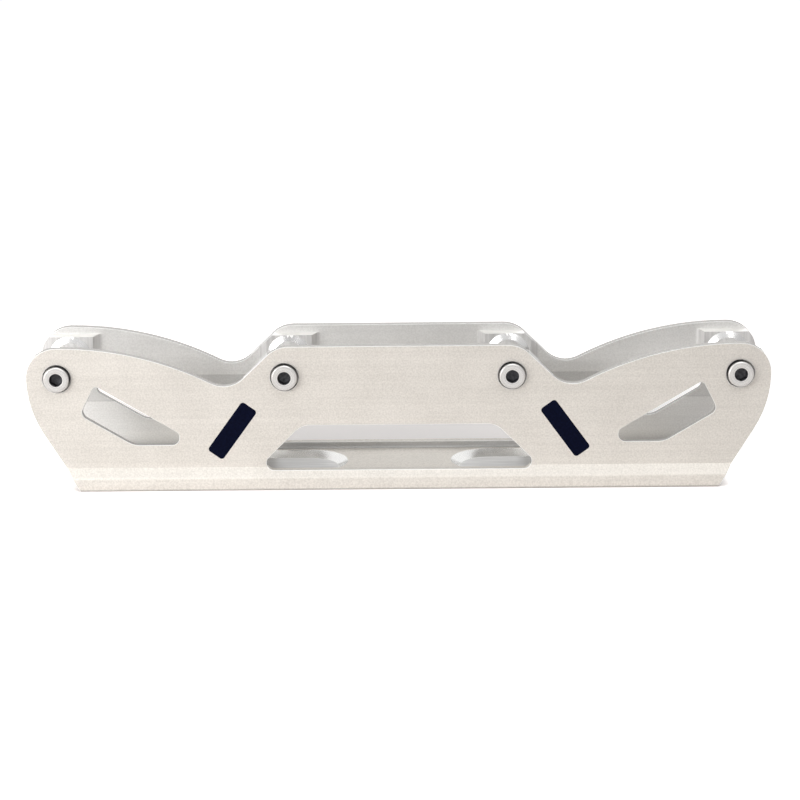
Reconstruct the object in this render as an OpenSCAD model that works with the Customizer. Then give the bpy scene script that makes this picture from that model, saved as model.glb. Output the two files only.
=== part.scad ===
// Inline skate frame for four wheels, lying with its boot face down and its axles up.
// X runs along the frame, Y runs across it from the front wall to the rear wall,
// and Z rises from the boot face. The origin is the middle of the boot face.

/* [Axle positions] */
// Distance between neighbouring axles
axle_pitch = 81; // [80:0.5:90]
// Height of the axles above the boot face
axle_z = 41; // [40:0.5:46]

/* [Walls] */
// Width over the outside of the two walls
wall_w = 39; // [38:0.5:44]
// Thickness of a wall beside the axles
wall_t = 3.2; // [2.8:0.1:4]
// Thickness of the thinner web under the axles
web_t = 2.4; // [2:0.1:2.7]
// Height at which a wall starts to thin towards the boot
taper_top_z = 33.4; // [30:0.2:34]
// Height at which a wall has thinned to its web
taper_bottom_z = 23.2; // [20:0.2:26]

/* [Wall outline] */
// Radius of the outline round the end axles, and of the wall above every axle
lobe_r = 11; // [10:0.25:13]
// Length of the boot face
base_l = 229.2; // [222:0.2:232]
// Angle of the slanted ends to the boot face
end_lean = 59; // [56:0.5:62]
// Radius of the long shoulder behind each end axle
shoulder_r = 118; // [90:1:124]
// Steepest angle of the shoulder, where it runs into the valley
shoulder_a = 27; // [24:0.5:29]
// Radius at the bottom of the valley between two axles
valley_r = 11; // [6:0.5:14]
// Angle of the slope from the raised middle down to the valley
slope_a = 44; // [38:0.5:50]
// Distance from an inner axle to that slope
slope_reach = 9.9; // [9:0.1:11]
// Radius at the ends of the raised middle
corner_r = 11; // [6:0.5:13]
// Straight stretch between two neighbouring curves of the outline
outline_flat = 0.6; // [0.4:0.1:2]

/* [Middle window] */
// Length of the window along its lower edge, corner to corner
mid_window_l = 102.4; // [80:0.2:110]
// Height of its lower edge
mid_window_z = 6.8; // [6:0.1:9]
// Height of its upper edge
mid_window_top_z = 23.2; // [18:0.2:26]
// Angle of its sloping sides
mid_window_a = 45; // [40:1:60]
// Radius of its lower corners
mid_window_low_r = 2.6; // [1:0.1:4]
// Radius of its upper corners
mid_window_top_r = 7; // [2:0.5:10]

/* [End windows] */
// Distance from an end axle back to the window's upper corner
end_window_inset = 13.2; // [12:0.2:18]
// How far that corner lies under the axle
end_window_drop = 2.6; // [2:0.2:6]
// Height of the window's lower edge
end_window_z = 16.3; // [12:0.1:18]
// Distance between its two long edges
end_window_w = 12.1; // [8:0.1:13]
// Angle of the long edges
end_window_a = 31; // [28:0.5:34]
// Angle of the short edge beside the axle
end_window_end_a = 63; // [55:1:75]
// Radius of its upper corner
end_window_tip_r = 1.4; // [1:0.1:3]
// Radius of its heel and of its narrow end
end_window_r = 2.7; // [1.5:0.1:3]
// Radius of the blunt bend in its lower edge
end_window_bend_r = 8; // [3:0.5:12]

/* [Base and flange] */
// Width over the flanges, at the boot face
flange_w = 44; // [42:0.5:50]
// Height of the straight edge of a flange
flange_h = 4.2; // [3:0.1:5]
// Height at which the flare above a flange meets the wall
flare_z = 7.9; // [7:0.1:10]
// Rounding between the flare and the straight edge
flange_r = 2; // [0.5:0.1:2.2]
// Thickness of the floor between the walls
floor_t = 4.4; // [4:0.1:5.2]
// Fillet between the floor and the walls
floor_r = 1; // [0.5:0.1:1.6]
// Length of the hollow that clears a wheel
pocket_l = 43; // [33:0.5:48]
// Width of that hollow
pocket_w = 30; // [24:0.5:31]
// Depth of that hollow
pocket_d = 2.2; // [1:0.1:2.4]
// Run of the slope from its rim to its bottom
pocket_run = 3.6; // [1:0.1:5]

/* [Boot mount] */
// Distance between the two mounting slots
slot_spacing = 165; // [155:0.5:170]
// Width of a mounting slot
slot_w = 6.6; // [5.4:0.1:8.4]
// Length of a mounting slot, end to end
slot_l = 18; // [12:0.5:22]

/* [Axle bosses] */
// Gap between two facing bosses, which takes a wheel hub
hub_gap = 24.4; // [22:0.1:25]
// Width of the flat face of a boss
boss_w = 17; // [16.5:0.1:20]
// Run of the sloping flank on each side of that face
boss_flank = 2.3; // [1.5:0.1:4]
// Height of the boss above the axle, at the wall
boss_rise = 8.3; // [8.2:0.1:9]
// How far the top of the boss falls towards its face
boss_fall = 0.5; // [0.2:0.05:0.7]
// Depth of the boss below the axle
boss_drop = 9; // [8.2:0.1:12]
// Radius of the fillet at the foot of a flank
boss_r = 1.6; // [0.8:0.1:2]
// Largest radius of the cone that bears on the wheel bearing
cone_r = 8; // [7:0.1:8]
// Smallest radius of that cone
cone_tip_r = 5.8; // [5.5:0.1:6.5]
// Height of that cone
cone_h = 1.1; // [0.6:0.1:1.6]

/* [Axle sleeves and screws] */
// Outside diameter of a sleeve, as in the bore of a wheel bearing
sleeve_d = 8; // [7.5:0.1:9]
// Diameter of the screw thread
thread_d = 6; // [5:0.1:6.4]
// Length of the screw under its head
screw_l = 13; // [10:0.5:18]
// Depth of the threaded hole in a sleeve
thread_depth = 16; // [14:0.5:24]
// Diameter of a head
head_d = 9.2; // [9.1:0.1:11]
// How far a head stands out of its wall
head_proud = 2; // [0.5:0.1:3]
// Depth of the round seat for a head in the wall
seat_depth = 1.5; // [0.8:0.1:2]
// Chamfer round a head
head_chamfer = 0.4; // [0.2:0.1:0.8]
// Width across the flats of the hexagon socket in a head
hex_af = 4; // [3:0.1:5]
// Depth of that socket
hex_depth = 2.6; // [1.5:0.1:2.8]
// Chamfer round the mouth of that socket
hex_chamfer = 0.5; // [0.3:0.1:0.6]

/* [Clearances] */
// Radial gap between a sleeve and its holes in the walls
sleeve_clearance = 0.05; // [0.02:0.01:0.1]
// Radial gap between a screw and the hole in its sleeve
thread_clearance = 0.05; // [0.02:0.01:0.1]
// Radial gap between a head and its seat
head_clearance = 0.45; // [0.2:0.05:0.8]
// Gap between the end of a sleeve and the head of its screw
end_clearance = 0.5; // [0.3:0.1:1]

/* [Hidden] */
axle_count = 4;
axles = [1 : axle_count];

// Facets of a drawn circle
$fn = 96;
// Largest turn and largest chord between two points of a rounded corner
arc_step = 7.5;
arc_chord = 4;
// Overlap of shapes that are joined or cut
lap = 1;
// Thickness of the slabs between which a hollow's slope is drawn
slab_t = 0.1;
// Level ledge between the sloping top of a boss and its wall
ledge_w = 0.4;

FRONT = -1;
REAR = 1;
frame_silver = [0.83, 0.82, 0.79];
axle_steel = [0.66, 0.66, 0.66];

// Main places along and up the frame
inner_axle_x = axle_pitch / 2;
outer_axle_x = axle_pitch * 3 / 2;
end_x = outer_axle_x + lobe_r;
top_z = axle_z + lobe_r;
half_w = wall_w / 2;
seat_y = half_w - seat_depth;
boss_y = hub_gap / 2 + cone_h;
head_h = seat_depth + head_proud;

// Outline corners: foot of the end curve, shoulder, end of the raised middle, valley
end_z = (end_x - base_l / 2) * tan(end_lean);
end_r = (axle_z - outline_flat - end_z) / tan((90 - end_lean) / 2);
shoulder_run = shoulder_r * tan(shoulder_a / 2);
shoulder_x = outer_axle_x - outline_flat - shoulder_run;
middle_x = inner_axle_x + (slope_reach - lobe_r * cos(slope_a)) / sin(slope_a);
valley_x = (middle_x * tan(slope_a) + shoulder_x * tan(shoulder_a)) / (tan(slope_a) + tan(shoulder_a));
valley_z = top_z - (valley_x - middle_x) * tan(slope_a);
valley_room = (shoulder_x - valley_x) / cos(shoulder_a) - shoulder_run - outline_flat;
valley_fit_r = min(valley_r, valley_room / tan((slope_a + shoulder_a) / 2));
outline = mirrored([
    [base_l / 2, 0, 0],
    [end_x, end_z, end_r],
    [end_x, top_z, lobe_r],
    [shoulder_x, top_z, shoulder_r],
    [valley_x, valley_z, valley_fit_r],
    [middle_x, top_z, corner_r],
]);

// Middle window, from its lower edge up
mid_window_rise = mid_window_top_z - mid_window_z;
mid_window_top_x = mid_window_l / 2 - mid_window_rise / tan(mid_window_a);
mid_window = mirrored([
    [mid_window_l / 2, mid_window_z, mid_window_low_r],
    [mid_window_top_x, mid_window_top_z, mid_window_top_r],
]);

// End window, from its upper corner down its short edge and back along the lower edge
tip_x = outer_axle_x - end_window_inset;
tip_z = axle_z - end_window_drop;
short_edge = end_window_w / sin(end_window_a + end_window_end_a);
heel_x = tip_x + short_edge * cos(end_window_end_a);
heel_z = tip_z - short_edge * sin(end_window_end_a);
end_window = [
    [tip_x, tip_z, end_window_tip_r],
    [heel_x, heel_z, end_window_r],
    [heel_x - (heel_z - end_window_z) / tan(end_window_a), end_window_z, end_window_bend_r],
    [tip_x - (tip_z - end_window_z) / tan(end_window_a), end_window_z, end_window_r],
];

// Section of the channel: flange, flare and wall outside, then wall, taper and floor inside
section = mirrored([
    [flange_w / 2, 0, 0],
    [flange_w / 2, flange_h, flange_r],
    [half_w, flare_z, 0],
    [half_w, top_z + lap, 0],
    [half_w - wall_t, top_z + lap, 0],
    [half_w - wall_t, taper_top_z, 0],
    [half_w - web_t, taper_bottom_z, 0],
    [half_w - web_t, floor_t, floor_r],
]);

// Plan of a boss on the front wall, about its axle
boss_plan = mirrored([
    [boss_w / 2 + boss_flank + lap + boss_r, -half_w + wall_t - lap, 0],
    [boss_w / 2 + boss_flank + lap + boss_r, -half_w + wall_t, 0],
    [boss_w / 2 + boss_flank, -half_w + wall_t, boss_r],
    [boss_w / 2, -boss_y, 0],
]);

function axle_x(n) = (n - (axle_count + 1) / 2) * axle_pitch;
function mirrored(half) = concat(
    half,
    [for (i = [len(half) - 1 : -1 : 0]) [-half[i].x, half[i].y, half[i].z]]
);
function unit(v) = v / norm(v);
function turn(a) = a > 180 ? a - 360 : a < -180 ? a + 360 : a;

// Points that round one corner [x, y, radius] between its two neighbours
function corner_points(before, corner, after) =
    let (
        tip = [corner.x, corner.y],
        r = corner.z,
        back = unit([before.x, before.y] - tip),
        on = unit([after.x, after.y] - tip),
        half = acos(back * on) / 2,
        centre = tip + unit(back + on) * r / sin(half),
        first = tip + back * r / tan(half) - centre,
        last = tip + on * r / tan(half) - centre,
        start = atan2(first.y, first.x),
        sweep = turn(atan2(last.y, last.x) - start),
        arc = abs(sweep) * r * PI / 180,
        steps = ceil(max(abs(sweep) / arc_step, arc / arc_chord))
    )
    r == 0 ? [tip] : [
        for (i = [0 : steps])
            centre + r * [cos(start + sweep * i / steps), sin(start + sweep * i / steps)]
    ];
function rounded(corners) =
    let (n = len(corners))
    [
        for (i = [0 : n - 1])
            each corner_points(corners[(i + n - 1) % n], corners[i], corners[(i + 1) % n])
    ];

// Extrudes an outline drawn in X and Z across the frame
module across(corners, depth) {
    rotate([90, 0, 0])
        linear_extrude(depth, center = true)
            polygon(rounded(corners));
}

// Turns the Z axis outwards, along the axle, on the front or the rear side
module on_axle(n, side) {
    translate([axle_x(n), 0, axle_z])
        rotate([-90 * side, 0, 0])
            children();
}

module channel() {
    rotate([90, 0, 90])
        linear_extrude(2 * end_x + lap, center = true)
            polygon(rounded(section));
}

module boss_blocks() {
    for (n = axles)
        for (side = [FRONT, REAR])
            translate([axle_x(n), 0, axle_z - boss_drop])
                mirror([0, side == REAR ? 1 : 0, 0])
                    linear_extrude(boss_drop + boss_rise)
                        polygon(rounded(boss_plan));
}

module boss_cones() {
    for (n = axles)
        for (side = [FRONT, REAR])
            on_axle(n, -side)
                translate([0, 0, -boss_y])
                    cylinder(h = cone_h, r1 = cone_r, r2 = cone_tip_r);
}

// Wedges that cut the sloping tops of the bosses, clear of the walls
module boss_slopes() {
    start_y = half_w - wall_t - ledge_w;
    slope = boss_fall / (start_y - boss_y);
    back_y = start_y + ledge_w / 2;
    tip_y = hub_gap / 2 - lap;
    for (n = axles)
        for (side = [0, 1])
            translate([axle_x(n), 0, axle_z + boss_rise])
                mirror([0, side, 0])
                    rotate([90, 0, 90])
                        linear_extrude(boss_w + 2 * (boss_flank + boss_r + lap), center = true)
                            polygon([
                                [back_y, slope * (back_y - start_y)],
                                [back_y, lap],
                                [tip_y, lap],
                                [tip_y, slope * (tip_y - start_y)],
                            ]);
}

module axle_holes() {
    for (n = axles)
        translate([axle_x(n), 0, axle_z])
            rotate([90, 0, 0])
                cylinder(h = wall_w + lap, d = sleeve_d + 2 * sleeve_clearance, center = true);
    for (n = axles)
        for (side = [FRONT, REAR])
            on_axle(n, side)
                translate([0, 0, seat_y])
                    cylinder(h = seat_depth + lap, d = head_d + 2 * head_clearance);
}

// Outline of a wheel hollow, drawn in by the given amount
function pocket_outline(inset) =
    let (
        x = pocket_l / 2 - inset,
        y = pocket_w / 2 - inset,
        r = y - outline_flat / 2
    )
    rounded([[-x, -y, r], [x, -y, r], [x, y, r], [-x, y, r]]);

module wheel_pocket() {
    hull() {
        translate([0, 0, floor_t - pocket_d])
            linear_extrude(slab_t)
                polygon(pocket_outline(pocket_run));
        translate([0, 0, floor_t])
            linear_extrude(slab_t)
                polygon(pocket_outline(0));
    }
}

module mounting_slot() {
    run = slot_l - slot_w;
    translate([0, 0, -lap])
        linear_extrude(floor_t + 2 * lap) {
            square([run, slot_w], center = true);
            for (end = [-1, 1])
                translate([end * run / 2, 0])
                    circle(d = slot_w);
        }
}

module windows() {
    across(mid_window, wall_w + 2 * lap);
    for (end = [0, 1])
        mirror([end, 0, 0])
            across(end_window, wall_w + 2 * lap);
}

module chassis() {
    color(frame_silver)
        difference() {
            intersection() {
                union() {
                    channel();
                    boss_blocks();
                    boss_cones();
                }
                across(outline, flange_w + lap);
            }
            boss_slopes();
            windows();
            axle_holes();
            for (n = axles)
                translate([axle_x(n), 0, 0])
                    wheel_pocket();
            for (end = [-1, 1])
                translate([end * slot_spacing / 2, 0, 0])
                    mounting_slot();
        }
}

// Round head with a hexagon socket on a stem, standing on its seat along Z
module headed_stem(stem_l, stem_d) {
    head_r = head_d / 2;
    hex_r = hex_af / 2 / cos(30);
    difference() {
        rotate_extrude()
            polygon([
                [0, seat_y - stem_l],
                [stem_d / 2, seat_y - stem_l],
                [stem_d / 2, seat_y],
                [head_r, seat_y],
                [head_r, seat_y + head_h - head_chamfer],
                [head_r - head_chamfer, seat_y + head_h],
                [0, seat_y + head_h],
            ]);
        translate([0, 0, seat_y + head_h - hex_depth])
            rotate(30)
                cylinder(h = hex_depth + lap, r = hex_r, $fn = 6);
        translate([0, 0, seat_y + head_h - hex_chamfer])
            cylinder(h = 2 * hex_chamfer, r1 = hex_r - hex_chamfer, r2 = hex_r + hex_chamfer);
    }
}

module axle_sleeve(n) {
    barrel_l = 2 * seat_y - end_clearance;
    color(axle_steel)
        on_axle(n, REAR)
            difference() {
                headed_stem(barrel_l, sleeve_d);
                translate([0, 0, seat_y - barrel_l - lap])
                    cylinder(h = thread_depth + lap, d = thread_d + 2 * thread_clearance);
            }
}

module axle_screw(n) {
    color(axle_steel)
        on_axle(n, FRONT)
            headed_stem(screw_l, thread_d);
}

chassis();
for (n = axles) {
    axle_sleeve(n);
    axle_screw(n);
}
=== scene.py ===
"""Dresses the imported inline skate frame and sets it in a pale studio."""
import logging
import math
from collections.abc import Callable, Iterable
from dataclasses import dataclass
from enum import Enum

import bmesh
import bpy
from mathutils import Matrix, Vector


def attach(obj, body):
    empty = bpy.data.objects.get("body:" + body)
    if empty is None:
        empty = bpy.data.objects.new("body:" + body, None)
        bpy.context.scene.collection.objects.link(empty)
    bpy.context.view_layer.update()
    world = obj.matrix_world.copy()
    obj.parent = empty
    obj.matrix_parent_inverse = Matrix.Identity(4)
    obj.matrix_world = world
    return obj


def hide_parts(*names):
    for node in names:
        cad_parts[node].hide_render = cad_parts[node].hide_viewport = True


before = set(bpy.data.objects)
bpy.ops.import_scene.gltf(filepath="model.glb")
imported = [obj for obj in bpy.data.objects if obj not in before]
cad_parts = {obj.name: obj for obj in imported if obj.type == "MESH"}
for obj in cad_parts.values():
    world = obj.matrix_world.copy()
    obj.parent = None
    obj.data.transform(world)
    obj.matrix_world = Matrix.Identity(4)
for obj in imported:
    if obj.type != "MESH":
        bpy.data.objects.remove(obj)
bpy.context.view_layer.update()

# Lengths are in millimetres and angles in degrees, unless a name or MM says otherwise.
MM = 0.001
AXLE_PITCH = 81.0
AXLE_HEIGHT = 41.0
AXLE_NUMBERS = (1, 2, 3, 4)
SHARP_ANGLE = 24.0
WELD = 1e-4
LATHE_LAY = "lathe_lay"
# Cloudy noise keeps mostly between these values.
NOISE_TONES = (0.35, 0.65)
NOISE_SPAN = (0.3, 0.7)
# Finer layers of a noise that is seen close by.
RICH_DETAIL = 3.0
LOG = logging.getLogger("skate_frame")

Colour = tuple[float, float, float]
Point = tuple[float, float, float]
Span = tuple[float, float]
Profile = list[tuple[float, float]]
Shades = tuple[tuple[float, float], ...]


class Slot(Enum):
    """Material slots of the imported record."""

    FRAME = "frame_aluminium"
    AXLE = "axle_steel"


class Side(Enum):
    """The wall that an axle part has its head in, as the sign of Y."""

    FRONT = -1
    REAR = 1


class Zone(Enum):
    """Finishes of the chassis, in the order of its material slots."""

    BLASTED = 0
    EASED_EDGE = 1
    CUT_EDGE = 2
    INSIDE = 3
    HOLLOW_SIDE = 4
    HOLLOW_BOTTOM = 5
    BOSS_FACE = 6
    BOSS_TOP = 7
    BOSS_CONE = 8
    HEAD_SEAT = 9


class AxlePart(Enum):
    """Finishes of a screw or a sleeve, in the order of its material slots."""

    TURNED = 0
    # The dark finish paints the shade in the socket and round the head's side.
    DARK = 1


class ShaderGraph:
    """A material whose nodes end in one Principled shader."""

    def __init__(self, name: str) -> None:
        """Makes the material.

        Args:
            name: Name of the finish.
        """
        self.material = bpy.data.materials.new(name)
        self.material.use_nodes = True
        self.tree = self.material.node_tree
        self.shader = self.tree.nodes["Principled BSDF"]
        self.coordinates = self.add("ShaderNodeTexCoord").outputs["Object"]

    def add(self, kind: str) -> bpy.types.Node:
        """Adds a node.

        Args:
            kind: Blender's name of the node type.

        Returns:
            The new node.
        """
        return self.tree.nodes.new(kind)

    def join(self, start: bpy.types.NodeSocket, end: bpy.types.NodeSocket) -> None:
        """Links an output to an input."""
        self.tree.links.new(start, end)

    def set(self, **values: float | tuple) -> None:
        """Sets constants on the shader, with underscores for the spaces in a socket's name."""
        for name, value in values.items():
            self.shader.inputs[name.replace("_", " ").title()].default_value = value

    def stretched(self, scale: Point) -> bpy.types.NodeSocket:
        """Object coordinates scaled along each axis.

        Args:
            scale: Factor along X, Y and Z.

        Returns:
            The scaled coordinates.
        """
        mapping = self.add("ShaderNodeMapping")
        mapping.inputs["Scale"].default_value = scale
        self.join(self.coordinates, mapping.inputs["Vector"])
        return mapping.outputs["Vector"]

    def noise(
        self, scale: float, detail: float = 2.0, place: bpy.types.NodeSocket | None = None
    ) -> bpy.types.NodeSocket:
        """Cloudy noise from 0 to 1.

        Args:
            scale: Cells per metre.
            detail: Number of finer layers.
            place: Coordinates to use in place of the object's own.

        Returns:
            The noise value.
        """
        node = self.add("ShaderNodeTexNoise")
        node.inputs["Scale"].default_value = scale
        node.inputs["Detail"].default_value = detail
        self.join(place or self.coordinates, node.inputs["Vector"])
        return node.outputs[0]

    def rings(self, attribute: str, scale: float) -> bpy.types.NodeSocket:
        """Noise along one attribute of the mesh, which draws turning lines.

        Args:
            attribute: Name of the attribute.
            scale: Cells per unit of the attribute.

        Returns:
            The noise value.
        """
        lay = self.add("ShaderNodeAttribute")
        lay.attribute_name = attribute
        node = self.add("ShaderNodeTexNoise")
        node.noise_dimensions = "1D"
        node.inputs["Scale"].default_value = scale
        self.join(lay.outputs["Fac"], node.inputs["W"])
        return node.outputs[0]

    def sum(self, *parts: tuple[bpy.types.NodeSocket, float]) -> bpy.types.NodeSocket:
        """Weighted sum of values.

        Args:
            parts: Each value with its weight.

        Returns:
            The sum.
        """
        total = None
        for value, weight in parts:
            node = self.add("ShaderNodeMath")
            node.operation = "MULTIPLY_ADD"
            self.join(value, node.inputs[0])
            node.inputs[1].default_value = weight
            if total is not None:
                self.join(total, node.inputs[2])
            else:
                node.inputs[2].default_value = 0.0
            total = node.outputs[0]
        return total

    def colour(self, value: bpy.types.NodeSocket, dark: Colour, light: Colour) -> None:
        """Shades the base colour between two tones.

        Args:
            value: Noise around 0.5.
            dark: Tone at its low end.
            light: Tone at its high end.
        """
        ramp = self.add("ShaderNodeValToRGB")
        low, high = ramp.color_ramp.elements
        low.position, high.position = NOISE_TONES
        low.color, high.color = (*dark, 1.0), (*light, 1.0)
        self.join(value, ramp.inputs["Fac"])
        self.join(ramp.outputs["Color"], self.shader.inputs["Base Color"])

    def highlight(self, level: float) -> None:
        """Sets how strongly the shader mirrors what lies ahead of it."""
        self.shader.inputs["Specular IOR Level"].default_value = level

    def shade_by_height(self, shades: Shades) -> None:
        """Paints shade into the base colour by the height above the boot face.

        Args:
            shades: Heights in millimetres, rising, each with the share of the colour kept there.
        """
        split = self.add("ShaderNodeSeparateXYZ")
        self.join(self.coordinates, split.inputs["Vector"])
        lowest, highest = shades[0][0], shades[-1][0]
        span = self.add("ShaderNodeMapRange")
        span.inputs["From Min"].default_value = lowest * MM
        span.inputs["From Max"].default_value = highest * MM
        self.join(split.outputs["Z"], span.inputs["Value"])
        ramp = self.add("ShaderNodeValToRGB")
        stops = ramp.color_ramp.elements
        for height, _ in shades[1:-1]:
            stops.new((height - lowest) / (highest - lowest))
        for stop, (_, share) in zip(stops, shades):
            stop.color = (share, share, share, 1.0)
        self.join(span.outputs["Result"], ramp.inputs["Fac"])
        base = self.shader.inputs["Base Color"]
        mix = self.add("ShaderNodeMix")
        mix.data_type = "RGBA"
        mix.blend_type = "MULTIPLY"
        mix.inputs["Factor"].default_value = 1.0
        self.join(base.links[0].from_socket, mix.inputs["A"])
        self.join(ramp.outputs["Color"], mix.inputs["B"])
        self.join(mix.outputs["Result"], base)

    def roughness(self, value: bpy.types.NodeSocket, low: float, high: float) -> None:
        """Varies the roughness.

        Args:
            value: Noise around 0.5.
            low: Roughness at its low end.
            high: Roughness at its high end.
        """
        span = self.add("ShaderNodeMapRange")
        for name, number in zip(("From Min", "From Max", "To Min", "To Max"), (*NOISE_SPAN, low, high)):
            span.inputs[name].default_value = number
        self.join(value, span.inputs["Value"])
        self.join(span.outputs["Result"], self.shader.inputs["Roughness"])

    def relief(self, value: bpy.types.NodeSocket, strength: float, depth: float) -> None:
        """Adds fine relief to the shading.

        Args:
            value: Height from 0 to 1.
            strength: How much of it shows.
            depth: Height in millimetres.
        """
        bump = self.add("ShaderNodeBump")
        bump.inputs["Strength"].default_value = strength
        bump.inputs["Distance"].default_value = depth * MM
        self.join(value, bump.inputs["Height"])
        self.join(bump.outputs["Normal"], self.shader.inputs["Normal"])


@dataclass(frozen=True)
class BlastedAluminium:
    """Bead-blasted, clear-anodised aluminium with faint lines from the extrusion die."""

    name: str = "blasted_aluminium"
    dark: Colour = (0.728, 0.692, 0.637)
    light: Colour = (0.918, 0.878, 0.818)
    grain: float = 1700.0
    grain_share: float = 0.6
    blotch: float = 70.0
    blotch_share: float = 0.2
    line_stretch: Point = (9.0, 600.0, 900.0)
    line_share: float = 0.2
    rough_shares: Span = (0.5, 0.5)
    low_rough: float = 0.42
    high_rough: float = 0.54
    relief: float = 0.35
    relief_depth: float = 0.05
    metallic: float = 0.35
    highlight: float = 0.2
    # Painted shade by height, if any.
    shades: Shades = ()

    def material(self) -> bpy.types.Material:
        """Makes the finish.

        Returns:
            The material.
        """
        graph = ShaderGraph(self.name)
        grain = graph.noise(self.grain)
        blotch = graph.noise(self.blotch)
        lines = graph.noise(1.0, RICH_DETAIL, graph.stretched(self.line_stretch))
        tone = graph.sum((grain, self.grain_share), (blotch, self.blotch_share), (lines, self.line_share))
        graph.colour(tone, self.dark, self.light)
        rough = graph.sum((blotch, self.rough_shares[0]), (lines, self.rough_shares[1]))
        graph.roughness(rough, self.low_rough, self.high_rough)
        graph.relief(grain, self.relief, self.relief_depth)
        if self.shades:
            graph.shade_by_height(self.shades)
        graph.set(metallic=self.metallic)
        graph.highlight(self.highlight)
        return graph.material


@dataclass(frozen=True)
class MachinedAluminium:
    """Aluminium as the mill or the lathe leaves it, with the lines of the tool."""

    name: str = "machined_aluminium"
    dark: Colour = (0.49, 0.485, 0.48)
    light: Colour = (0.66, 0.655, 0.65)
    tool_stretch: Point = (60.0, 60.0, 60.0)
    low_rough: float = 0.24
    high_rough: float = 0.27
    relief: float = 0.05
    relief_depth: float = 0.03
    metallic: float = 1.0

    def material(self) -> bpy.types.Material:
        """Makes the finish.

        Returns:
            The material.
        """
        graph = ShaderGraph(self.name)
        tool = graph.noise(1.0, place=graph.stretched(self.tool_stretch))
        graph.colour(tool, self.dark, self.light)
        graph.roughness(tool, self.low_rough, self.high_rough)
        graph.relief(tool, self.relief, self.relief_depth)
        graph.set(metallic=self.metallic)
        return graph.material


@dataclass(frozen=True)
class EasedEdge:
    """Eased edge worn to brighter metal, lightened further as a painted highlight."""

    dark: Colour = (0.90, 0.89, 0.87)
    light: Colour = (0.97, 0.965, 0.95)
    wear: float = 420.0
    low_rough: float = 0.35
    high_rough: float = 0.5
    metallic: float = 0.3

    def material(self) -> bpy.types.Material:
        """Makes the finish.

        Returns:
            The material.
        """
        graph = ShaderGraph("eased_edge")
        wear = graph.noise(self.wear, RICH_DETAIL)
        graph.colour(wear, self.dark, self.light)
        graph.roughness(wear, self.low_rough, self.high_rough)
        graph.set(metallic=self.metallic)
        return graph.material


@dataclass(frozen=True)
class TurnedSteel:
    """Bright plated steel with the fine rings of a lathe."""

    dark: Colour = (0.52, 0.51, 0.495)
    light: Colour = (0.66, 0.648, 0.63)
    ring: float = 6.0
    ring_share: float = 0.7
    speck: float = 2200.0
    speck_share: float = 0.3
    low_rough: float = 0.26
    high_rough: float = 0.4
    relief: float = 0.2
    relief_depth: float = 0.03
    metallic: float = 0.6

    def material(self) -> bpy.types.Material:
        """Makes the finish.

        Returns:
            The material.
        """
        graph = ShaderGraph("turned_steel")
        rings = graph.rings(LATHE_LAY, self.ring)
        speck = graph.noise(self.speck)
        tone = graph.sum((rings, self.ring_share), (speck, self.speck_share))
        graph.colour(tone, self.dark, self.light)
        graph.roughness(rings, self.low_rough, self.high_rough)
        graph.relief(rings, self.relief, self.relief_depth)
        graph.set(metallic=self.metallic)
        return graph.material


@dataclass(frozen=True)
class PaintedShadeSteel:
    """Near-black steel as painted shade inside a hexagon socket and round the side of a head."""

    dark: Colour = (0.015, 0.015, 0.018)
    light: Colour = (0.06, 0.06, 0.065)
    mottle: float = 900.0
    low_rough: float = 0.3
    high_rough: float = 0.5
    metallic: float = 0.6

    def material(self) -> bpy.types.Material:
        """Makes the finish.

        Returns:
            The material.
        """
        graph = ShaderGraph("painted_shade_dark_steel")
        mottle = graph.noise(self.mottle, RICH_DETAIL)
        graph.colour(mottle, self.dark, self.light)
        graph.roughness(mottle, self.low_rough, self.high_rough)
        graph.set(metallic=self.metallic)
        return graph.material


@dataclass(frozen=True)
class PrintedInk:
    """Navy ink, pad printed on blasted metal whose grain shows through."""

    dark: Colour = (0.0006, 0.0015, 0.010)
    light: Colour = (0.002, 0.0036, 0.018)
    grain: float = 1500.0
    low_rough: float = 0.4
    high_rough: float = 0.6
    relief: float = 0.25
    relief_depth: float = 0.03
    highlight: float = 0.05

    def material(self) -> bpy.types.Material:
        """Makes the finish.

        Returns:
            The material.
        """
        graph = ShaderGraph("printed_ink")
        grain = graph.noise(self.grain, RICH_DETAIL)
        graph.colour(grain, self.dark, self.light)
        graph.roughness(grain, self.low_rough, self.high_rough)
        graph.relief(grain, self.relief, self.relief_depth)
        graph.highlight(self.highlight)
        return graph.material


ChassisFinish = BlastedAluminium | MachinedAluminium | EasedEdge


def axle_x(number: int) -> float:
    """Place of an axle along the frame.

    Args:
        number: Axle number, from the left end.

    Returns:
        Its X in millimetres.
    """
    return (number - (len(AXLE_NUMBERS) + 1) / 2) * AXLE_PITCH


def corner_edges(mesh: bmesh.types.BMesh, least: float) -> list[bmesh.types.BMEdge]:
    """Edges where two faces meet at a corner.

    Args:
        mesh: Mesh to search.
        least: Smallest turn that counts, in degrees.

    Returns:
        The edges.
    """
    return [e for e in mesh.edges if e.is_manifold and e.calc_face_angle(0.0) > math.radians(least)]


def ease(
    mesh: bmesh.types.BMesh,
    edges: list[bmesh.types.BMEdge],
    width: float,
    segments: int,
    clamp: bool = True,
) -> list[bmesh.types.BMFace]:
    """Rounds edges.

    Args:
        mesh: Mesh that holds them.
        edges: Edges to round.
        width: Width of the rounding, in the mesh's units.
        segments: Faces across the rounding.
        clamp: Whether the shortest edges limit the width everywhere.

    Returns:
        The new faces.
    """
    made = bmesh.ops.bevel(
        mesh, geom=edges, offset=width, offset_type="OFFSET", affect="EDGES",
        segments=segments, profile=0.5, material=-1, clamp_overlap=clamp,
    )
    return made["faces"]


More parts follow.
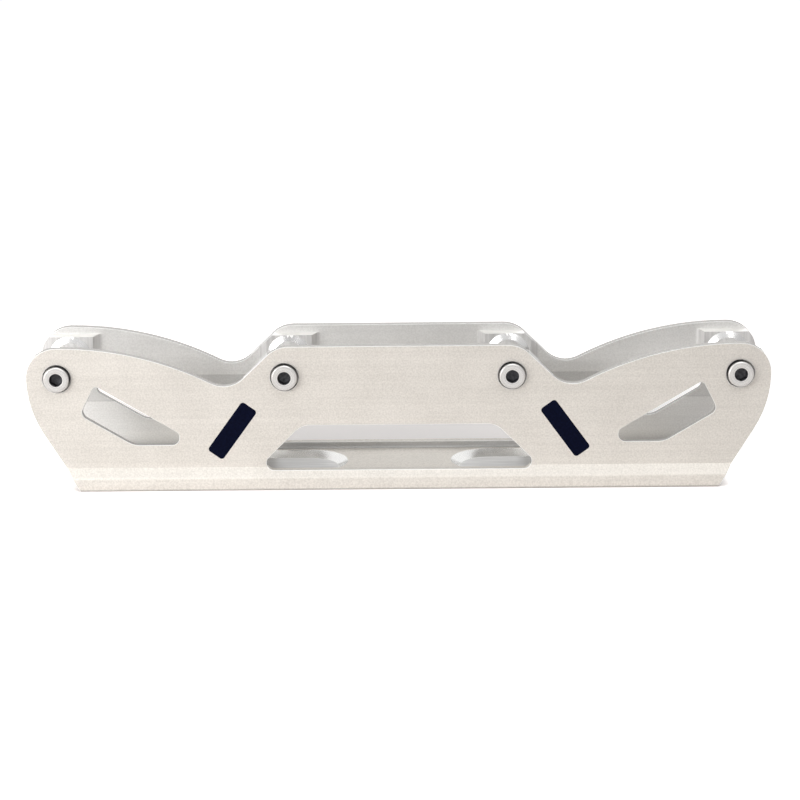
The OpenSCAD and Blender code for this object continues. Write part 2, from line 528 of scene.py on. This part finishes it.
def finished(
    name: str, mesh: bmesh.types.BMesh, body: str, materials: Iterable[bpy.types.Material]
) -> bpy.types.Object:
    """Turns a bmesh into a smoothly shaded piece that rides on a body.

    Args:
        name: Name of the piece.
        mesh: Its mesh, in place and in metres; it is freed.
        body: CAD body that it moves with.
        materials: Its finishes, in the order of its material slots.

    Returns:
        The piece.
    """
    data = bpy.data.meshes.new(name)
    mesh.normal_update()
    for face in mesh.faces:
        face.smooth = True
    for edge in corner_edges(mesh, SHARP_ANGLE):
        edge.smooth = False
    mesh.to_mesh(data)
    mesh.free()
    for material in materials:
        data.materials.append(material)
    piece = bpy.data.objects.new(name, data)
    bpy.context.scene.collection.objects.link(piece)
    flats = piece.modifiers.new("even_flats", "WEIGHTED_NORMAL")
    flats.keep_sharp = True
    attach(piece, body)
    return piece


@dataclass
class Chassis:
    """The milled channel: its solid, with the outer edges eased and a finish for each kind of face.

    Lengths are in millimetres unless they hold MM, and a tilt is a share of a face's normal.
    """

    node: str = "chassis"
    body: str = "frame_channel"
    merge_distance: float = 0.002 * MM
    flat_angle: float = 0.4
    edge_angle: float = 24.0
    edge_width: float = 0.2 * MM
    edge_segments: int = 2
    sharp_reach: float = 14.6
    sharp_height: Span = (24.0, 49.6)
    sharp_across: Span = (16.25, 17.2)
    taper_top: float = 33.2
    boss_reach: float = 12.6
    boss_height: Span = (31.7, 49.5)
    boss_top_low: float = 48.4
    boss_top_tilt: float = 0.4
    cone_reach: float = 13.28
    cone_tilt: Span = (0.75, 0.96)
    seat_radius: float = 5.2
    wall_inside: float = 16.22
    wall_tilt: float = 0.2
    floor_top: float = 4.4
    floor_slack: float = 0.05
    level_tilt: float = 0.9
    hollow_side: float = 15.2
    cut_low: float = 8.0
    # Eased edges above these heights get the worn finish with its painted highlight.
    rubbed_and_highlit_low: float = 0.5
    rubbed_and_highlit_low_inside: float = 5.4
    slack: float = 0.1
    # Painted shade by height on the blasted outside: a dark line along the bottom edge as contact shadow,
    # a lighter flange edge and band at the channel floor, a darker flare, and walls that darken towards
    # the top.
    outside_painted_shades: Shades = (
        (0.0, 0.62), (0.32, 0.66), (0.5, 0.94), (4.0, 0.94), (4.2, 0.98), (4.6, 0.98),
        (4.8, 0.89), (7.6, 0.89), (8.2, 0.91), (52.0, 0.87),
    )
    # Painted shade on the cut edges: darker towards the sills low down.
    cut_painted_shades: Shades = ((8.0, 0.7), (14.0, 0.8), (18.0, 0.9), (30.0, 1.0), (52.0, 1.0))
    # Painted shade on the walls' insides: darker in the corner at the floor, in the band of the taper and
    # towards the top.
    inside_painted_shades: Shades = (
        (4.4, 0.5), (5.6, 0.6), (6.9, 0.69), (8.6, 0.89), (10.6, 1.0), (23.1, 1.0), (23.3, 0.78),
        (24.0, 0.86), (33.35, 0.80), (33.45, 1.0), (40.0, 1.0), (46.0, 0.93), (52.0, 0.86),
    )

    def build(self) -> bmesh.types.BMesh:
        """Copies the solid, merges its triangles and eases its edges.

        Returns:
            The mesh, with each face's finish in its material index.
        """
        mesh = bmesh.new()
        mesh.from_mesh(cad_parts[self.node].data)
        bmesh.ops.remove_doubles(mesh, verts=mesh.verts, dist=self.merge_distance)
        bmesh.ops.dissolve_limit(
            mesh, angle_limit=math.radians(self.flat_angle), verts=mesh.verts, edges=mesh.edges
        )
        edges = [
            e for e in corner_edges(mesh, self.edge_angle)
            if e.is_convex and not any(map(self.stays_sharp, e.verts))
        ]
        eased = ease(mesh, edges, self.edge_width, self.edge_segments, clamp=False)
        for face in mesh.faces:
            face.material_index = self.zone(face.calc_center_median() / MM, face.normal).value
        self.rub_and_highlight(eased)
        return mesh

    def rub_and_highlight(self, faces: list[bmesh.types.BMFace]) -> None:
        """Gives eased edges their worn finish with its painted highlight, apart from those low down.

        Args:
            faces: Faces of the eased edges.
        """
        plain = (Zone.BLASTED.value, Zone.CUT_EDGE.value, Zone.INSIDE.value)
        for face in faces:
            if not face.is_valid or face.material_index not in plain:
                continue
            place = face.calc_center_median() / MM
            inside = face.material_index == Zone.INSIDE.value or abs(place.y) < self.hollow_side
            if place.z > (self.rubbed_and_highlit_low_inside if inside else self.rubbed_and_highlit_low):
                face.material_index = Zone.EASED_EDGE.value

    def stays_sharp(self, corner: bmesh.types.BMVert) -> bool:
        """Tells whether a corner belongs to a boss or a hollow, whose edges stay sharp.

        Args:
            corner: Corner to place.

        Returns:
            True on a boss, where its sides run out into the taper, and in the hollows of the floor.
        """
        place = corner.co / MM
        if self.slack < place.z < self.floor_top + self.slack and abs(place.y) < self.hollow_side:
            return True
        near = any(abs(place.x - axle_x(n)) < self.sharp_reach for n in AXLE_NUMBERS)
        high_across, low_across = self.sharp_across
        across = low_across if place.z < self.taper_top else high_across
        low, high = self.sharp_height
        return near and low < place.z < high and abs(place.y) < across

    def zone(self, place: Vector, normal: Vector) -> Zone:
        """Finds the finish of a face.

        Args:
            place: Middle of the face, in millimetres.
            normal: Its normal.

        Returns:
            That of the heads' seats, of the bosses' tops, cones and faces, of the hollows in the floor,
            of the walls' insides and of the edges that the outline and the windows leave, and blasted
            elsewhere.
        """
        across = abs(place.y)
        apart = min(math.hypot(place.x - axle_x(n), place.z - AXLE_HEIGHT) for n in AXLE_NUMBERS)
        if apart < self.seat_radius and across > self.wall_inside and abs(normal.y) < self.wall_tilt:
            return Zone.HEAD_SEAT
        near = any(abs(place.x - axle_x(n)) < self.boss_reach for n in AXLE_NUMBERS)
        low, high = self.boss_height
        if near and low < place.z < high and across < self.wall_inside:
            if place.z > self.boss_top_low and normal.z > self.boss_top_tilt:
                return Zone.BOSS_TOP
            cone = across < self.cone_reach and self.cone_tilt[0] < abs(normal.y) < self.cone_tilt[1]
            return Zone.BOSS_CONE if cone else Zone.BOSS_FACE
        if self.slack < place.z < self.floor_top - self.floor_slack and across < self.hollow_side:
            return Zone.HOLLOW_BOTTOM if normal.z > self.level_tilt else Zone.HOLLOW_SIDE
        if place.z > self.floor_top and normal.y * place.y < 0.0 and abs(normal.y) > self.wall_tilt:
            return Zone.INSIDE
        if place.z > self.cut_low and abs(normal.y) < self.wall_tilt:
            return Zone.CUT_EDGE
        return Zone.BLASTED

    def finishes(self) -> dict[Zone, ChassisFinish]:
        """Lists the finishes.

        Returns:
            The finish of each kind of face.
        """
        return {
            Zone.BLASTED: BlastedAluminium(shades=self.outside_painted_shades),
            Zone.EASED_EDGE: EasedEdge(),
            # Cut edges, tops and sills: a darker copy of the blasted finish as painted shade.
            Zone.CUT_EDGE: BlastedAluminium(
                "cut_edge", dark=(0.39, 0.38, 0.365), light=(0.49, 0.48, 0.465),
                low_rough=0.6, high_rough=0.7, metallic=1.0, shades=self.cut_painted_shades,
            ),
            # Walls' insides: a copy of the blasted finish with painted shade by height.
            Zone.INSIDE: BlastedAluminium(
                "inside_of_walls", dark=(0.79, 0.78, 0.76), light=(0.92, 0.91, 0.89),
                shades=self.inside_painted_shades,
            ),
            # The hollows' sides are a brighter copy as painted highlight, their bottoms a darker copy as
            # painted shade.
            Zone.HOLLOW_SIDE: MachinedAluminium(
                "milled_hollow_side", dark=(0.88, 0.875, 0.86), light=(0.95, 0.945, 0.93),
                low_rough=0.16, high_rough=0.22, metallic=0.9,
            ),
            Zone.HOLLOW_BOTTOM: MachinedAluminium(
                "milled_hollow_bottom", dark=(0.53, 0.525, 0.52), light=(0.67, 0.665, 0.66),
                tool_stretch=(60.0, 900.0, 60.0), low_rough=0.3, high_rough=0.38, metallic=0.65,
            ),
            Zone.BOSS_FACE: MachinedAluminium(
                "milled_boss", dark=(0.69, 0.68, 0.67), light=(0.82, 0.81, 0.80),
                tool_stretch=(900.0, 60.0, 60.0), low_rough=0.32, high_rough=0.42, metallic=0.25,
            ),
            # Boss tops: a near-white copy of the milled finish as painted highlight.
            Zone.BOSS_TOP: MachinedAluminium(
                "milled_boss_top", dark=(0.86, 0.85, 0.83), light=(0.93, 0.92, 0.90),
                low_rough=0.3, high_rough=0.4, metallic=0.9,
            ),
            Zone.BOSS_CONE: MachinedAluminium(),
            # Heads' seats: near white as painted light, which fills the shade in the gap round each head.
            Zone.HEAD_SEAT: MachinedAluminium(
                "milled_head_seat", dark=(0.95, 0.945, 0.93), light=(0.98, 0.975, 0.96),
                low_rough=0.3, high_rough=0.4, metallic=0.0,
            ),
        }

    def dress(self) -> bpy.types.Object:
        """Builds the piece and gives it its finishes.

        Returns:
            The chassis.
        """
        finishes = self.finishes()
        materials = [finishes[zone].material() for zone in Zone]
        piece = finished("chassis_body", self.build(), self.body, materials)
        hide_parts(self.node)
        return piece


@dataclass
class HeadedPin:
    """Round part on an axle with a head, a hexagon socket and a stem, turned about Z."""

    number: int
    side: Side
    seat: float = 18.0
    head_radius: float = 4.6
    head_top: float = 21.5
    head_chamfer: float = 0.4
    mouth_radius: float = 2.36
    socket_width: float = 4.0
    socket_depth: float = 2.6
    countersink: float = 0.3
    drill_depth: float = 0.5
    drill_share: float = 0.6
    steps: int = 96
    edge_width: float = 0.1
    edge_segments: int = 2
    edge_angle: float = 25.0

    def head_profile(self) -> Profile:
        """Outlines the head.

        Returns:
            Its radii and heights, from the socket's mouth to the seat.
        """
        rim = self.head_radius - self.head_chamfer
        return [
            (self.mouth_radius, self.head_top),
            (rim, self.head_top),
            (self.head_radius, self.head_top - self.head_chamfer),
            (self.head_radius, self.seat),
        ]

    def stem_profile(self) -> Profile:
        """Returns the outline of the stem, from the seat to its far end on the axis."""
        raise NotImplementedError

    def shape_stem(self, mesh: bmesh.types.BMesh) -> None:
        """Works the turned stem further."""

    def turned(self) -> bmesh.types.BMesh:
        """Turns the outline about the axis.

        Returns:
            The turned mesh, in millimetres, open at the socket's mouth.
        """
        mesh = bmesh.new()
        points = self.head_profile() + self.stem_profile()
        verts = [mesh.verts.new((radius, 0.0, height)) for radius, height in points]
        edges = [mesh.edges.new(pair) for pair in zip(verts, verts[1:])]
        bmesh.ops.spin(
            mesh, geom=verts + edges, cent=(0.0, 0.0, 0.0), axis=(0.0, 0.0, 1.0),
            angle=math.tau, steps=self.steps, use_merge=True,
        )
        bmesh.ops.remove_doubles(mesh, verts=mesh.verts, dist=WELD)
        return mesh

    def extrude_rim(self, mesh: bmesh.types.BMesh, move: Callable[[Vector], Vector]) -> None:
        """Carries the open rim on by one ring.

        Args:
            mesh: Mesh with one open rim.
            move: Gives the new place of each point of the rim.
        """
        rim = [e for e in mesh.edges if e.is_boundary]
        made = bmesh.ops.extrude_edge_only(mesh, edges=rim)
        for vert in made["geom"]:
            if isinstance(vert, bmesh.types.BMVert):
                vert.co = move(vert.co)
        # The socket's faces get the painted shade of the dark steel.
        for item in made["geom"]:
            if isinstance(item, bmesh.types.BMFace):
                item.material_index = AxlePart.DARK.value

    def hexagon(self, place: Vector) -> Vector:
        """Moves a point of a circle onto the socket's hexagon and under its countersink.

        Args:
            place: Point of the circle.

        Returns:
            Its new place.
        """
        turn = math.atan2(place.y, place.x)
        sixth = math.pi / 3
        radius = self.socket_width / 2 / math.cos((turn + sixth / 2) % sixth - sixth / 2)
        height = self.head_top - self.countersink
        return Vector((radius * math.cos(turn), radius * math.sin(turn), height))

    def cut_socket(self, mesh: bmesh.types.BMesh) -> None:
        """Closes the head with its hexagon socket.

        Args:
            mesh: Turned mesh, open at the socket's mouth.
        """
        floor = self.head_top - self.socket_depth
        share = self.drill_share
        self.extrude_rim(mesh, self.hexagon)
        self.extrude_rim(mesh, lambda p: Vector((p.x, p.y, floor)))
        self.extrude_rim(mesh, lambda p: Vector((p.x * share, p.y * share, floor)))
        self.extrude_rim(mesh, lambda p: Vector((0.0, 0.0, floor - self.drill_depth)))
        bmesh.ops.remove_doubles(mesh, verts=mesh.verts, dist=WELD)

    def paint_side_shade(self, mesh: bmesh.types.BMesh) -> None:
        """Paints shade on the round side of the head with the dark finish.

        Args:
            mesh: Mesh of the part, turned about Z.
        """
        for face in mesh.faces:
            middle = face.calc_center_median()
            outside = math.hypot(middle.x, middle.y) > self.head_radius - 2 * self.edge_width
            if outside and middle.z < self.head_top - self.head_chamfer - self.edge_width:
                face.material_index = AxlePart.DARK.value

    def build(self) -> bmesh.types.BMesh:
        """Turns, cuts, eases and places the part.

        Returns:
            The mesh, in place and in metres.
        """
        mesh = self.turned()
        self.cut_socket(mesh)
        ease(mesh, corner_edges(mesh, self.edge_angle), self.edge_width, self.edge_segments)
        self.paint_side_shade(mesh)
        self.shape_stem(mesh)
        bmesh.ops.recalc_face_normals(mesh, faces=mesh.faces)
        lay = mesh.verts.layers.float.new(LATHE_LAY)
        for vert in mesh.verts:
            vert[lay] = math.hypot(vert.co.x, vert.co.y) + vert.co.z
        place = Matrix.Translation((axle_x(self.number) * MM, 0.0, AXLE_HEIGHT * MM))
        outward = Matrix.Rotation(math.radians(-90.0 * self.side.value), 4, "X")
        bmesh.ops.transform(mesh, matrix=place @ outward @ Matrix.Scale(MM, 4), verts=mesh.verts)
        return mesh

    def dress(self, kind: str, finishes: list[bpy.types.Material]) -> bpy.types.Object:
        """Builds the piece and gives it its finishes.

        Args:
            kind: What the part is, as in its node's and its body's name.
            finishes: Turned steel and the dark steel of the painted shade.

        Returns:
            The piece.
        """
        name = f"{kind}_{self.number}_turned"
        piece = finished(name, self.build(), f"{kind}_{self.number}", finishes)
        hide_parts(f"axle_{kind}_{self.number}")
        return piece


@dataclass
class AxleScrew(HeadedPin):
    """Screw seated in the front wall, with a cut thread."""

    stem_radius: float = 2.98
    length: float = 13.0
    collar: float = 1.6
    tip: float = 0.7
    thread_pitch: float = 1.0
    thread_depth: float = 0.46
    thread_half: float = 0.42
    thread_slack: float = 0.01
    shank_skin: float = 0.2
    rings_per_turn: int = 10

    def stem_profile(self) -> Profile:
        """Outlines the stem, with rings for the thread.

        Returns:
            Its radii and heights, from the seat to the tip.
        """
        start, end = self.seat - self.collar, self.seat - self.length + self.tip
        count = round((start - end) / self.thread_pitch * self.rings_per_turn)
        thread = [(self.stem_radius, start + (end - start) * i / count) for i in range(count + 1)]
        point = (self.stem_radius - self.tip, end - self.tip)
        return [(self.stem_radius, self.seat), *thread, point, (0.0, end - self.tip)]

    def shape_stem(self, mesh: bmesh.types.BMesh) -> None:
        """Cuts the thread: a groove that winds down the stem and starts shallow at the collar.

        Args:
            mesh: Mesh of the screw, turned about Z.
        """
        start, end = self.seat - self.collar, self.seat - self.length + self.tip
        for vert in mesh.verts:
            radius = math.hypot(vert.co.x, vert.co.y)
            on_stem = end - self.thread_slack < vert.co.z < start
            if not on_stem or radius < self.stem_radius - self.shank_skin:
                continue
            turn = math.atan2(vert.co.y, vert.co.x) / math.tau
            phase = ((start - vert.co.z) / self.thread_pitch + turn) % 1.0
            groove = max(0.0, 1.0 - abs(phase - 0.5) / self.thread_half)
            fade = min(1.0, (start - vert.co.z) / self.thread_pitch)
            share = (radius - self.thread_depth * groove * fade) / radius
            vert.co.x *= share
            vert.co.y *= share


@dataclass
class AxleSleeve(HeadedPin):
    """Barrel seated in the rear wall, bored for the screw from its front end."""

    barrel_radius: float = 4.0
    barrel_end: float = -17.5
    end_chamfer: float = 0.5
    bore_radius: float = 3.05
    bore_end: float = -1.5
    bore_point: float = 1.4
    bore_chamfer: float = 0.35

    def stem_profile(self) -> Profile:
        """Outlines the barrel and its bore.

        Returns:
            Their radii and heights, from the seat to the bore's point.
        """
        return [
            (self.barrel_radius, self.seat),
            (self.barrel_radius, self.barrel_end + self.end_chamfer),
            (self.barrel_radius - self.end_chamfer, self.barrel_end),
            (self.bore_radius + self.bore_chamfer, self.barrel_end),
            (self.bore_radius, self.barrel_end + self.bore_chamfer),
            (self.bore_radius, self.bore_end),
            (0.0, self.bore_end + self.bore_point),
        ]


@dataclass
class PrintedBar:
    """Plain slanted bar of ink on the outside of a wall, between two axles."""

    name: str
    side: Side
    mirrored: bool
    body: str = "frame_channel"
    foot: tuple[float, float] = (66.0, 12.5)
    length: float = 22.0
    width: float = 6.6
    slant: float = 54.0
    corner: float = 1.2
    corner_segments: int = 5
    wall: float = 19.5
    film: float = 0.03

    def build(self) -> bmesh.types.BMesh:
        """Draws the bar as a film on the wall.

        Returns:
            The mesh, in place and in metres.
        """
        mesh = bmesh.new()
        bmesh.ops.create_grid(mesh, x_segments=1, y_segments=1, size=0.5)
        bmesh.ops.scale(mesh, vec=(self.length, self.width, 1.0), verts=mesh.verts)
        bmesh.ops.bevel(
            mesh, geom=mesh.verts[:], offset=self.corner, offset_type="OFFSET", affect="VERTICES",
            segments=self.corner_segments, profile=0.5, material=-1,
        )
        lift = bmesh.ops.extrude_face_region(mesh, geom=mesh.faces[:])["geom"]
        top = [v for v in lift if isinstance(v, bmesh.types.BMVert)]
        bmesh.ops.translate(mesh, vec=(0.0, 0.0, 2 * self.film), verts=top)
        bmesh.ops.translate(mesh, vec=(self.length / 2, 0.0, -self.film), verts=mesh.verts)
        bmesh.ops.recalc_face_normals(mesh, faces=mesh.faces)
        lean = math.radians(180.0 - self.slant)
        upright = Matrix.Rotation(math.radians(90.0), 4, "X") @ Matrix.Rotation(lean, 4, "Z")
        place = Matrix.Translation((self.foot[0], -self.wall, self.foot[1]))
        flip = Matrix.Diagonal((-1.0 if self.mirrored else 1.0, -float(self.side.value), 1.0, 1.0))
        bmesh.ops.transform(
            mesh, matrix=Matrix.Scale(MM, 4) @ flip @ place @ upright, verts=mesh.verts
        )
        bmesh.ops.recalc_face_normals(mesh, faces=mesh.faces)
        return mesh

    def dress(self, ink: bpy.types.Material) -> bpy.types.Object:
        """Builds the piece and inks it.

        Args:
            ink: The ink.

        Returns:
            The bar.
        """
        return finished(self.name, self.build(), self.body, [ink])


@dataclass(frozen=True)
class SoftBox:
    """Large square lamp that looks at the object."""

    name: str
    place: Point
    size: float
    power: float
    colour: Colour = (1.0, 1.0, 1.0)
    aim: Point = (0.0, 0.0, 0.025)

    def build(self) -> bpy.types.Object:
        """Hangs the lamp.

        Returns:
            The lamp.
        """
        data = bpy.data.lights.new(self.name, "AREA")
        data.size = self.size
        data.energy = self.power
        data.color = self.colour
        lamp = bpy.data.objects.new(self.name, data)
        lamp.location = self.place
        towards = Vector(self.aim) - Vector(self.place)
        lamp.rotation_euler = towards.to_track_quat("-Z", "Y").to_euler()
        bpy.context.scene.collection.objects.link(lamp)
        return lamp


@dataclass(frozen=True)
class PhotoCamera:
    """Camera at the photograph's place, in millimetres, degrees and pixels."""

    place: Point = (5.08, -753.5, 222.8)
    pitch: float = 14.551
    yaw: float = 0.353
    roll: float = -0.578
    focal_pixels: float = 2128.8
    image_pixels: float = 800.0
    clip: Span = (0.01, 100.0)

    def build(self) -> bpy.types.Object:
        """Sets up the scene's camera.

        Returns:
            The camera.
        """
        data = bpy.data.cameras.new("photo_camera")
        data.lens = self.focal_pixels / self.image_pixels * data.sensor_width
        data.clip_start, data.clip_end = self.clip
        camera = bpy.data.objects.new("photo_camera", data)
        turn = Matrix.Rotation(math.radians(self.yaw), 4, "Z")
        tilt = Matrix.Rotation(math.radians(90.0 - self.pitch), 4, "X")
        roll = Matrix.Rotation(math.radians(self.roll), 4, "Z")
        camera.matrix_world = Matrix.Translation(Vector(self.place) * MM) @ turn @ tilt @ roll
        bpy.context.scene.collection.objects.link(camera)
        bpy.context.scene.camera = camera
        return camera


@dataclass(frozen=True)
class Studio:
    """Pale floor, white surroundings and soft lamps."""

    floor_size: float = 12.0
    floor_drop: float = 0.0001
    floor_tone: Colour = (0.73, 0.685, 0.665)
    floor_glow: float = 0.84
    # Painted shadow: a rounded patch of weaker glow on the floor behind the object.
    painted_shadow_glow: float = 0.36
    painted_shadow_centre: Point = (0.0, 0.09, 0.0)
    painted_shadow_reach: Point = (0.15, 0.09, 1.0)
    painted_shadow_rim: float = 0.28
    # Painted contact shadow: ambient occlusion dims the floor's glow next to the object.
    painted_contact_reach: float = 0.004
    painted_contact_samples: int = 8
    floor_bounce_glow: float = 0.03
    fade_start: float = 0.25
    fade_end: float = 0.8
    sky: float = 0.03
    lamps: tuple[SoftBox, ...] = (
        SoftBox("left_low", (-0.55, -0.4, 0.15), 0.3, 1.9),
        SoftBox("left_front", (-0.65, -0.8, 0.5), 0.5, 3.3),
        SoftBox("right_top", (0.45, -0.62, 0.85), 0.35, 1.85),
        SoftBox("top", (0.0, -0.2, 1.2), 0.8, 5.0),
        SoftBox("back_top", (0.0, 0.8, 0.8), 0.8, 0.8),
    )

    def seen(self, tree: bpy.types.NodeTree) -> bpy.types.NodeSocket:
        """Finds whether a ray shows the surroundings to the camera, also by way of metal.

        Args:
            tree: Node tree to work in.

        Returns:
            1 for camera, glossy and transmission rays, 0 for the others.
        """
        path = tree.nodes.new("ShaderNodeLightPath")
        value = path.outputs["Is Camera Ray"]
        for name in ("Is Glossy Ray", "Is Transmission Ray"):
            either = tree.nodes.new("ShaderNodeMath")
            either.operation = "MAXIMUM"
            tree.links.new(value, either.inputs[0])
            tree.links.new(path.outputs[name], either.inputs[1])
            value = either.outputs[0]
        return value

    def strength(self, tree: bpy.types.NodeTree, lit: float) -> bpy.types.Node:
        """Picks an emission strength by the kind of ray.

        Args:
            tree: Node tree to work in.
            lit: Strength where the surroundings only light the object.

        Returns:
            The node, whose To Max is the strength where they are seen.
        """
        span = tree.nodes.new("ShaderNodeMapRange")
        span.inputs["To Min"].default_value = lit
        tree.links.new(self.seen(tree), span.inputs["Value"])
        return span

    def length(
        self, tree: bpy.types.NodeTree, vector: bpy.types.NodeSocket
    ) -> bpy.types.NodeSocket:
        """Measures a vector.

        Args:
            tree: Node tree to work in.
            vector: The vector.

        Returns:
            Its length.
        """
        node = tree.nodes.new("ShaderNodeVectorMath")
        node.operation = "LENGTH"
        tree.links.new(vector, node.inputs[0])
        return node.outputs["Value"]

    def painted_floor_shadow(
        self, tree: bpy.types.NodeTree, place: bpy.types.NodeSocket
    ) -> bpy.types.NodeSocket:
        """Paints a soft shadow on the floor behind the object, as a rounded patch of weaker glow.

        Args:
            tree: Node tree to work in.
            place: Place on the floor.

        Returns:
            The floor's glow near the object.
        """
        for operation, value in (("SUBTRACT", self.painted_shadow_centre), ("DIVIDE", self.painted_shadow_reach)):
            step = tree.nodes.new("ShaderNodeVectorMath")
            step.operation = operation
            step.inputs[1].default_value = value
            tree.links.new(place, step.inputs[0])
            place = step.outputs["Vector"]
        square = tree.nodes.new("ShaderNodeVectorMath")
        square.operation = "MULTIPLY"
        tree.links.new(place, square.inputs[0])
        tree.links.new(place, square.inputs[1])
        shade = tree.nodes.new("ShaderNodeMapRange")
        shade.interpolation_type = "SMOOTHSTEP"
        shade.inputs["From Min"].default_value = self.painted_shadow_rim
        shade.inputs["To Min"].default_value = self.painted_shadow_glow
        shade.inputs["To Max"].default_value = self.floor_glow
        tree.links.new(self.length(tree, square.outputs["Vector"]), shade.inputs["Value"])
        return shade.outputs["Result"]

    def fading_glow(self, tree: bpy.types.NodeTree) -> bpy.types.NodeSocket:
        """Raises the floor's glow from the painted shadow near the object to full white in the distance.

        Args:
            tree: Node tree to work in.

        Returns:
            The glow.
        """
        place = tree.nodes.new("ShaderNodeTexCoord").outputs["Object"]
        fade = tree.nodes.new("ShaderNodeMapRange")
        fade.inputs["From Min"].default_value = self.fade_start
        fade.inputs["From Max"].default_value = self.fade_end
        tree.links.new(self.length(tree, place), fade.inputs["Value"])
        near = self.painted_floor_shadow(tree, place)
        tree.links.new(near, fade.inputs["To Min"])
        # Painted contact shadow: ambient occlusion dims the glow where the object is close.
        contact = tree.nodes.new("ShaderNodeAmbientOcclusion")
        contact.samples = self.painted_contact_samples
        contact.inputs["Distance"].default_value = self.painted_contact_reach
        glow = tree.nodes.new("ShaderNodeMath")
        glow.operation = "MULTIPLY"
        tree.links.new(fade.outputs["Result"], glow.inputs[0])
        tree.links.new(contact.outputs["AO"], glow.inputs[1])
        return glow.outputs[0]

    def floor(self) -> bpy.types.Object:
        """Lays the floor, which is white to the camera, keeps the lamps' shadows in its lit part and has
        painted shadow in its glow.

        Returns:
            The floor.
        """
        mesh = bmesh.new()
        bmesh.ops.create_grid(mesh, x_segments=1, y_segments=1, size=self.floor_size / 2)
        bmesh.ops.translate(mesh, vec=(0.0, 0.0, -self.floor_drop), verts=mesh.verts)
        data = bpy.data.meshes.new("floor")
        mesh.to_mesh(data)
        mesh.free()
        material = bpy.data.materials.new("pale_floor")
        material.use_nodes = True
        tree = material.node_tree
        shader = tree.nodes["Principled BSDF"]
        shader.inputs["Base Color"].default_value = (*self.floor_tone, 1.0)
        shader.inputs["Roughness"].default_value = 1.0
        shader.inputs["Specular IOR Level"].default_value = 0.0
        shader.inputs["Emission Color"].default_value = (1.0, 1.0, 1.0, 1.0)
        glow = self.strength(tree, self.floor_bounce_glow)
        tree.links.new(self.fading_glow(tree), glow.inputs["To Max"])
        tree.links.new(glow.outputs["Result"], shader.inputs["Emission Strength"])
        data.materials.append(material)
        floor = bpy.data.objects.new("floor", data)
        bpy.context.scene.collection.objects.link(floor)
        return floor

    def surround(self) -> bpy.types.World:
        """Sets up the white surroundings.

        Returns:
            The scene's world.
        """
        world = bpy.data.worlds.new("white_studio")
        world.use_nodes = True
        tree = world.node_tree
        sky = tree.nodes["Background"]
        sky.inputs["Color"].default_value = (1.0, 1.0, 1.0, 1.0)
        tree.links.new(self.strength(tree, self.sky).outputs["Result"], sky.inputs["Strength"])
        bpy.context.scene.world = world
        return world

    def build(self) -> None:
        """Sets up the floor, the surroundings and the lamps."""
        self.floor()
        self.surround()
        for lamp in self.lamps:
            lamp.build()
        bpy.context.scene.view_settings.view_transform = "Standard"


def main() -> None:
    """Builds the pieces in order, then the studio and the camera."""
    logging.basicConfig(level=logging.INFO, format="%(name)s: %(message)s")
    pieces = [Chassis().dress()]
    axle_finishes = [TurnedSteel().material(), PaintedShadeSteel().material()]
    for number in AXLE_NUMBERS:
        pieces.append(AxleScrew(number, Side.FRONT).dress("screw", axle_finishes))
        pieces.append(AxleSleeve(number, Side.REAR).dress("sleeve", axle_finishes))
    ink = PrintedInk().material()
    for side in Side:
        for mirrored in (False, True):
            name = f"printed_bar_{side.name.lower()}_{'left' if mirrored else 'right'}"
            pieces.append(PrintedBar(name, side, mirrored).dress(ink))
    for piece in pieces:
        LOG.info("%s: %d faces", piece.name, len(piece.data.polygons))
    Studio().build()
    PhotoCamera().build()
    bpy.context.view_layer.update()


if __name__ == "__main__":
    main()
